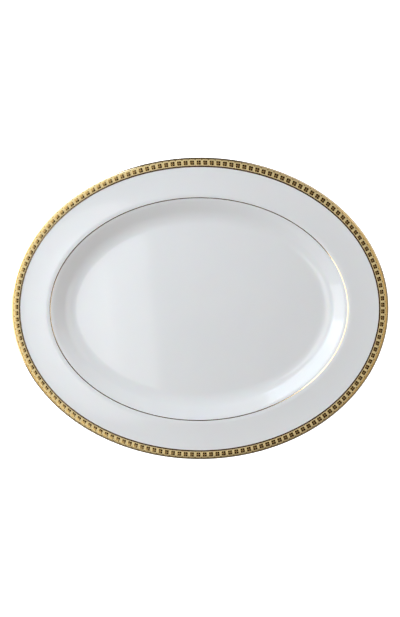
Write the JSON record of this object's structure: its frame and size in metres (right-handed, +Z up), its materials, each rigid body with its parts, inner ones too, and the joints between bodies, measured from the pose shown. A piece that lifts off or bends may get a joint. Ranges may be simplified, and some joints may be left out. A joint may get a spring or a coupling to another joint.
{
  "type": "oval china serving platter",
  "caption": "Oval porcelain serving platter with a shallow well, a wide flange, a foot ring, and a gilded rim band etched with a chain of small squares",
  "frame": {"origin": "centre of the platter on the plane the foot ring rests on", "axes": "+X along the long axis of the oval, +Y along the short axis, +Z up out of the well"},
  "size_m": [0.381, 0.305, 0.0245],
  "materials": {
    "bisque": "unglazed, fine and dry",
    "glaze": "high gloss clear glaze over cool white porcelain",
    "burnished_gold": "burnished gilding",
    "etched_gold": "matt etched gilding with burnished squares"
  },
  "bodies": {
    "root": {"porcelain_body": "bisque", "face_glaze": "glaze", "base_glaze": "glaze", "gilt_lip": "burnished_gold", "etched_band": "etched_gold", "band_inner_line": "burnished_gold", "well_line": "burnished_gold"}
  },
  "joints": []
}
